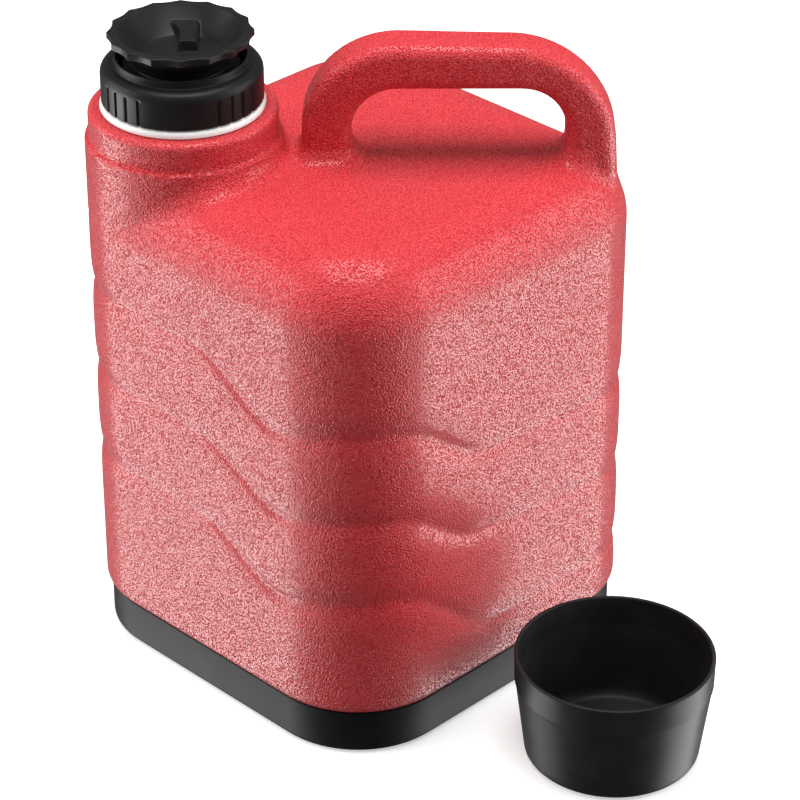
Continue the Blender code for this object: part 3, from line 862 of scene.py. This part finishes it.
# %% Foam and fill plug
for node in ("foam_insulation", "stopper_foam"):
    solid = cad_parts[node]
    solid.data.materials.clear()
    solid.data.materials.append(poured_foam)
head_r = 15 * MM
head_low, head_high = cover_floor + gap, rebate_bottom - gap
fill_top = rebate_bottom + shell_wall
fill_section = rounded([
    (0, head_low, 0),
    (head_r, head_low, 0.3 * MM),
    (head_r, head_high, 0.3 * MM),
    (fill_hole_r - gap, head_high, 0),
    (fill_hole_r - gap, fill_top, 0.6 * MM),
    (0, fill_top, 0),
], closed=False)
fill_mesh = turned("foam_fill_plug_fine", fill_section, centre, 96, closed=False)
piece(fill_mesh, "jug", "black_base", base_black, "foam_fill_plug")

# %% [markdown]
# ## The pour collar
# The collar screws on the bottle's neck. Its skirt has four groups of four narrow slots for
# the fingers, its shoulder is rolled over, and a thin lip stands on top to pour from. Inside
# are two threads, one for the bottle and one for the stopper. Sixteen cutters could make the
# slots, but slots and threads are both reliefs on one turned section here. That only needs small
# steps along the section, and there is no cut edge to clean up.

# %% Pour collar
lip_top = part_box("pour_collar")[1].z
collar_top = lip_top - 3.5 * MM
plate_under = collar_top - 2.5 * MM
skirt_low = flange_top + 0.4 * MM
skirt_r, skirt_bore_r = 36.2 * MM, 33.8 * MM
tube_r, tube_bore_r = 29.3 * MM, 27.8 * MM
lip_r, lip_inner_r = 29.6 * MM, 28.7 * MM
slot_pitch = math.radians(10.6)
slot_half = 0.75 * MM
slot_depth = 0.8 * MM
group_turn = math.radians(0.2)


def grip_slots(turn, radius, z):
    """Four groups of four slots, open at the skirt's lower edge and run out at the top."""
    outside = (radius > skirt_r - 1.1 * MM) & (z < collar_top - 1 * MM)
    in_quarter = (turn - group_turn) % (math.pi / 2) - math.pi / 4
    nearest = np.clip(np.round(in_quarter / slot_pitch - 0.5), -2, 1) + 0.5
    off = np.abs(in_quarter - nearest * slot_pitch) * skirt_r
    across = np.clip((slot_half - off) / (0.35 * MM), 0, 1)
    run_out = np.clip((collar_top - 4.2 * MM - z) / (0.8 * MM), 0, 1)
    return -slot_depth * across * run_out * outside, 0


# %% The collar's section
skirt_thread = thread(flange_top + 2.9 * MM + pitch / 2, skirt_bore_r, -1, skirt_low, plate_under)
plug_foot = collar_top - 26 * MM
tube_thread = thread(plug_foot + 12.3 * MM + pitch / 2, tube_bore_r, -1, plug_foot, collar_top)
collar_section = refined(rounded([
    (tube_bore_r, plug_foot, 0.4 * MM),
    (tube_r, plug_foot, 0.4 * MM),
    (tube_r, plate_under, 0.3 * MM),
    (skirt_bore_r, plate_under, 0.4 * MM),
    (skirt_bore_r, skirt_low, 0.3 * MM),
    (skirt_r, skirt_low, 0.35 * MM),
    (skirt_r, collar_top, 4.4 * MM),
    (lip_r + 0.6 * MM, collar_top, 0.8 * MM),
    (lip_r, lip_top, 0.5 * MM),
    (lip_inner_r, lip_top, 0.5 * MM),
    (lip_inner_r, collar_top - 0.3 * MM, 0.4 * MM),
    (tube_bore_r, collar_top - 1.7 * MM, 0.5 * MM),
], steps=6), 0.4 * MM)


def collar_relief(turn, radius, z):
    """The slots and both threads, which never meet."""
    reliefs = (grip_slots, skirt_thread, tube_thread)
    return sum(relief(turn, radius, z)[0] for relief in reliefs), 0


collar_mesh = turned("pour_collar_fine", collar_section, neck_axis, 320, collar_relief)
piece(collar_mesh, "collar", "black_closure", closure_black, "pour_collar")

# %% [markdown]
# ## Seals
# A flat washer seals the collar on the bottle's rim, and a round ring seals the stopper's plug
# in the collar's tube. A torus primitive would do for the ring and a bevelled ring for the
# washer, but both are turned like the rest, from the sizes of their working solids.

# %% Gasket and O-ring
gasket_low, gasket_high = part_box("collar_gasket")
gasket_r = (gasket_high.x - gasket_low.x) / 2
gasket_section = rounded([
    (tube_r + gap, gasket_low.z, 0.3 * MM),
    (gasket_r, gasket_low.z, 0.3 * MM),
    (gasket_r, gasket_high.z, 0.3 * MM),
    (tube_r + gap, gasket_high.z, 0.3 * MM),
])
gasket_mesh = turned("collar_gasket_fine", gasket_section, neck_axis)
piece(gasket_mesh, "collar_seal", "seal", seal_grey, "collar_gasket")

ring_low, ring_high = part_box("stopper_o_ring")
ring_outer = (ring_high.x - ring_low.x) / 2
ring_thick = ring_high.z - ring_low.z
ring_section = []
for turn in np.linspace(0, 2 * math.pi, 24, endpoint=False):
    ring_section.append((
        ring_outer - ring_thick / 2 * (1 - math.cos(turn)),
        ring_low.z + ring_thick / 2 * (1 + math.sin(turn)),
    ))
ring_mesh = turned("stopper_o_ring_fine", ring_section, neck_axis)
piece(ring_mesh, "stopper_seal", "seal", seal_grey, "stopper_o_ring")

# %% [markdown]
# ## The stopper
# The knob is a dish with a scalloped rim: sixteen shallow hollows with a sharp tip between
# each two, so that wet fingers can turn it. Inside the dish a flared rib runs from the middle
# to the wall. The rim could be cut by sixteen cylinders and the rib joined on, but both are
# reliefs again, so the rib's sides flow into the dish. The threaded plug hangs below, hidden in
# the collar.

# %% Knob
knob_low, knob_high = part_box("stopper_knob")
knob_top = knob_high.z
knob_r = 32.5 * MM
rim_low = knob_top - 3.3 * MM
stem_r = 21 * MM
plug_r = 26.2 * MM
dish_floor = knob_top - 10 * MM
scallops = 16
tip_turn = math.radians(3)
dish_r, dish_floor_r = 27.4 * MM, 16.5 * MM
dish_wall_height = 9.6 * MM
rib_top = dish_floor + 4.8 * MM
rib_left, rib_right, rib_front = 1 * MM, 7 * MM, 0.5 * MM
rib_flare, flare_from, flare_length = 8.5 * MM, 6 * MM, 20 * MM
rib_edge_r, rib_side = 1.0 * MM, 1.5 * MM
hollow_depth = 1.5 * MM


def knob_relief(turn, radius, z):
    """Hollows round the rim, and the rib that stands in the dish."""
    place = ((turn - tip_turn) * scallops / (2 * math.pi)) % 1
    hollow = hollow_depth * np.sin(math.pi * place)
    near_rim = np.clip((radius - 28.5 * MM) / (3.2 * MM), 0, 1) * (z > rim_low - 3 * MM)
    x, y = radius * np.cos(turn), radius * np.sin(turn)
    flare = rib_flare * np.clip((y - flare_from) / flare_length, 0, 1) ** 2.2
    across = np.minimum(x + rib_left + flare, rib_right - x)
    outside = round_both(-across, -y - rib_front, rib_edge_r)
    share = np.clip(0.5 - outside / rib_side, 0, 1)
    share = share * share * (3 - 2 * share)
    in_dish = (z > dish_floor - 0.1 * MM) & (z < rib_top) & (radius < dish_r)
    return -hollow * near_rim, (rib_top - z) * share * in_dish


# %% The knob's section
dish_wall = []
for share in np.linspace(1, 0, 25):
    radius = dish_floor_r + (dish_r - dish_floor_r) * share
    dish_wall.append(Vector((radius, dish_floor + dish_wall_height * share**1.2)))
dish_bottom = [Vector((16 * MM, dish_floor)), Vector((0, dish_floor))]
socket_r = 17 * MM
shelf_top = knob_low.z + 2 * MM
knob_outside = rounded([
    (0, dish_floor - 2.5 * MM, 0),
    (socket_r, dish_floor - 2.5 * MM, 0.4 * MM),
    (socket_r, knob_low.z, 0.3 * MM),
    (plug_r, knob_low.z, 0.4 * MM),
    (plug_r, shelf_top, 0.5 * MM),
    (stem_r, shelf_top, 1.0 * MM),
    (stem_r, dish_floor - 1.5 * MM, 3.0 * MM),
    (30 * MM, rim_low, 1.5 * MM),
    (knob_r, rim_low, 0.45 * MM),
    (knob_r, knob_top, 0.55 * MM),
    (dish_r + 0.3 * MM, knob_top, 0.3 * MM),
    (dish_r, dish_floor + dish_wall_height, 0),
], closed=False, steps=5)
knob_section = refined(knob_outside[:-1] + dish_wall + dish_bottom, 0.45 * MM, closed=False)
knob_mesh = turned("stopper_knob_fine", knob_section, neck_axis, 360, knob_relief, closed=False)
piece(knob_mesh, "stopper", "black_closure", closure_black, "stopper_knob")

# %% Plug
plug_low, plug_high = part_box("stopper_plug")
groove_mid = plug_low.z + 4.25 * MM
groove_half = 1.7 * MM
groove_r = 24.4 * MM
plug_bore_r = plug_r - 2.2 * MM
plug_floor = plug_low.z + 8.2 * MM
plug_section = refined(rounded([
    (0, plug_low.z, 0),
    (plug_r, plug_low.z, 0.8 * MM),
    (plug_r, groove_mid - groove_half, 0.2 * MM),
    (groove_r, groove_mid - groove_half, 0.2 * MM),
    (groove_r, groove_mid + groove_half, 0.2 * MM),
    (plug_r, groove_mid + groove_half, 0.2 * MM),
    (plug_r, plug_high.z, 0.3 * MM),
    (plug_bore_r, plug_high.z, 0.3 * MM),
    (plug_bore_r, plug_floor, 0.5 * MM),
    (0, plug_floor, 0),
], closed=False), 0.4 * MM, closed=False)
plug_thread = thread(plug_low.z + 12.3 * MM, plug_r, 1, groove_mid + groove_half, plug_high.z)
plug_mesh = turned("stopper_plug_fine", plug_section, neck_axis, 256, plug_thread, closed=False)
piece(plug_mesh, "stopper", "black_closure", closure_black, "stopper_plug")

# %% [markdown]
# ## The cup
# The cup doubles as a lid. Its straight band at the mouth fits over the shell's neck ring, and
# below a faint step it tapers to a rounded foot. A tapered cylinder with a Solidify modifier
# would be quicker, but it has neither the band nor the shallow hollow under the foot. The wall
# is 1.8 mm thick, so the rim shows as a thin line of light.

# %% Drinking cup
cup_low, cup_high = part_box("drinking_cup")
mouth_r = (cup_high.x - cup_low.x) / 2
foot_r = mouth_r - 5.7 * MM
band_low = cup_high.z - 13.6 * MM
cup_wall = 1.8 * MM
foot_hollow = 0.8 * MM
cup_section = refined(rounded([
    (0, foot_hollow, 0),
    (foot_r - 10 * MM, foot_hollow, 0.4 * MM),
    (foot_r - 9 * MM, 0, 0.4 * MM),
    (foot_r, 0, 4 * MM),
    (mouth_r - 0.7 * MM, band_low - 0.4 * MM, 0.3 * MM),
    (mouth_r - 0.35 * MM, band_low, 0.2 * MM),
    (mouth_r, cup_high.z, 0.6 * MM),
    (mouth_r - cup_wall, cup_high.z, 0.6 * MM),
    (mouth_r - 0.4 * MM - cup_wall, band_low, 0.5 * MM),
    (foot_r - cup_wall, cup_wall, 5 * MM),
    (0, cup_wall, 0),
], closed=False, steps=6), 2 * MM, closed=False)
cup_mesh = turned("drinking_cup_fine", cup_section, cup_axis, 256, closed=False)
piece(cup_mesh, "cup", "black_cup", cup_black, "drinking_cup")

# %% [markdown]
# ## Floor, light and camera
# The jug stands on a plain pale floor. Glossy plastic shows its lights as much as its colour,
# so each light has one job. A softbox overhead lights the top and lays the shadow under the
# handle. Two walls at the sides light the shoulders. Two low cards are seen only in reflections:
# they are what the two faces mirror, so the pebbles sparkle there, and the front corner between
# them stays dark. A weak light in front fills the shadows. One big dome would be simpler, but
# it would wash the red out. The floor is kept out of the reflections for the same reason.


# %% Floor
floor_half = 6
floor_drop = 0.2 * MM


def stage_floor():
    material = bpy.data.materials.new("pale_floor")
    finish = Finish(material, "Principled BSDF", Roughness=0.9, IOR=plastic_ior)
    finish.shader.inputs["Emission Color"].default_value = (1, 1, 1, 1)
    finish.shader.inputs["Emission Strength"].default_value = 0.45
    cloudy = finish.noise(2, 3)
    finish.set(Base_Color=finish.mixed(cloudy, (0.93, 0.93, 0.93, 1), (0.95, 0.95, 0.95, 1)))
    corners = [(-1, -1), (1, -1), (1, 1), (-1, 1)]
    mesh = bpy.data.meshes.new("floor")
    points = [(x * floor_half, y * floor_half, -floor_drop) for x, y in corners]
    mesh.from_pydata(points, [], [(0, 1, 2, 3)])
    mesh.materials.append(material)
    floor = bpy.data.objects.new("floor", mesh)
    bpy.context.scene.collection.objects.link(floor)
    floor.visible_glossy = False
    floor.visible_diffuse = False
    floor.visible_shadow = False
    print("floor:", floor_half * 2, "m square")


stage_floor()


# %% Softboxes
def softbox(name, place, aim, width, height, brightness, shown_in="both"):
    """An area light of a brightness that doesn't depend on its size."""
    light = bpy.data.lights.new(name, "AREA")
    light.shape = "RECTANGLE"
    light.size, light.size_y = width, height
    light.energy = brightness * math.pi * width * height
    obj = bpy.data.objects.new(name, light)
    obj.location = place
    obj.rotation_euler = (Vector(aim) - Vector(place)).to_track_quat("-Z", "Y").to_euler()
    obj.visible_camera = False
    obj.visible_diffuse = shown_in != "glossy"
    obj.visible_glossy = shown_in != "diffuse"
    bpy.context.scene.collection.objects.link(obj)
    print(f"{name}: {width} by {height} m, {light.energy:.1f} W, {shown_in}")


side_reach = 1.2
softbox("overhead", (0.0, 0.05, 1.9), (0, 0.05, 0.2), 1.2, 1.2, 7.8)
softbox("front_fill", (0, -1.5, 0.5), (0, 0, 0.12), 1.0, 1.0, 1.0, shown_in="diffuse")
for x in (-side_reach, side_reach):
    softbox("high_wall", (x, 0.02, 0.50), (0, 0.02, 0.50), 0.85, 1.5, 4.0)
    softbox("low_card", (x, 0.0, -0.64), (0, 0.0, 0.08), 0.95, 0.95, 8.2, shown_in="glossy")

# %% World
world = bpy.data.worlds.new("studio")
sky = Finish(world, "Background", Color=(1, 1, 1, 1))
seen_level, lighting_level = 1, 0.18
in_view = sky.node("ShaderNodeLightPath", {}, {}, "Is Camera Ray")
sky.set(Strength=in_view * (seen_level - lighting_level) + lighting_level)
bpy.context.scene.world = world
bpy.context.scene.view_settings.view_transform = "Standard"
print("world lights at", lighting_level)

# %% Camera
camera_data = bpy.data.cameras.new("camera")
camera_data.sensor_width = 36.0
camera_data.lens = 149.65
camera = bpy.data.objects.new("camera", camera_data)
bpy.context.scene.collection.objects.link(camera)
azimuth, elevation = math.radians(-0.097), math.radians(31.04)
distance = 1.5539
target = Vector((0.01907, 0, 0.11531))
back = Vector((
    math.sin(azimuth) * math.cos(elevation),
    -math.cos(azimuth) * math.cos(elevation),
    math.sin(elevation),
))
camera.location = target + back * distance
camera.rotation_euler = (-back).to_track_quat("-Z", "Y").to_euler()
bpy.context.scene.camera = camera
print(f"camera {distance} m from the jug")
